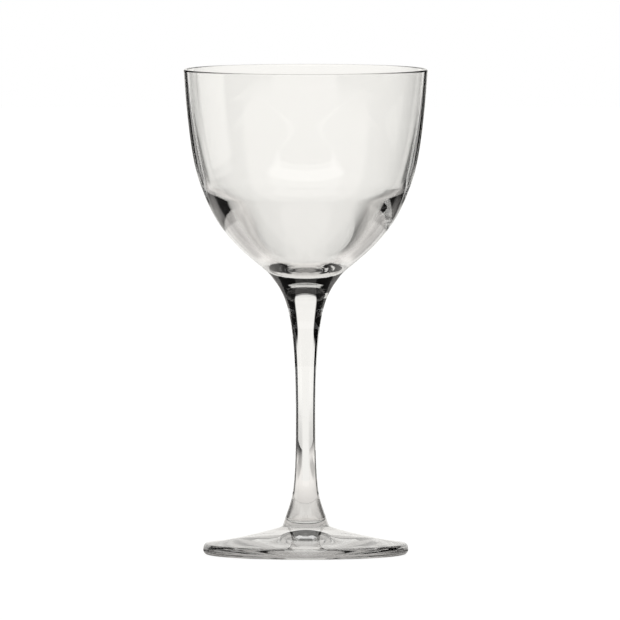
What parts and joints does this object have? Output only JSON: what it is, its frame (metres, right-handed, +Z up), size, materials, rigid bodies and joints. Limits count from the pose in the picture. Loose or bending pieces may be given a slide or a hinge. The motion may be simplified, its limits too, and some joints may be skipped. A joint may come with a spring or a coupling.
{
  "type": "nick and nora glass",
  "caption": "Small stemmed cocktail glass of clear glass: a deep rounded bowl with a thick floor, a slender flared stem and a broad shallow foot to stand on.",
  "frame": {"origin": "on the table under the middle of the foot", "axes": "+Z up along the axis of the glass, from the foot to the rim; the glass is round, so +X and +Y are any two level directions at right angles"},
  "size_m": [0.0734, 0.0734, 0.146],
  "materials": {
    "clear_glass": "clear, fire-polished, smooth"
  },
  "bodies": {
    "root": {"bowl": "clear_glass", "stem": "clear_glass", "foot": "clear_glass"}
  },
  "joints": []
}
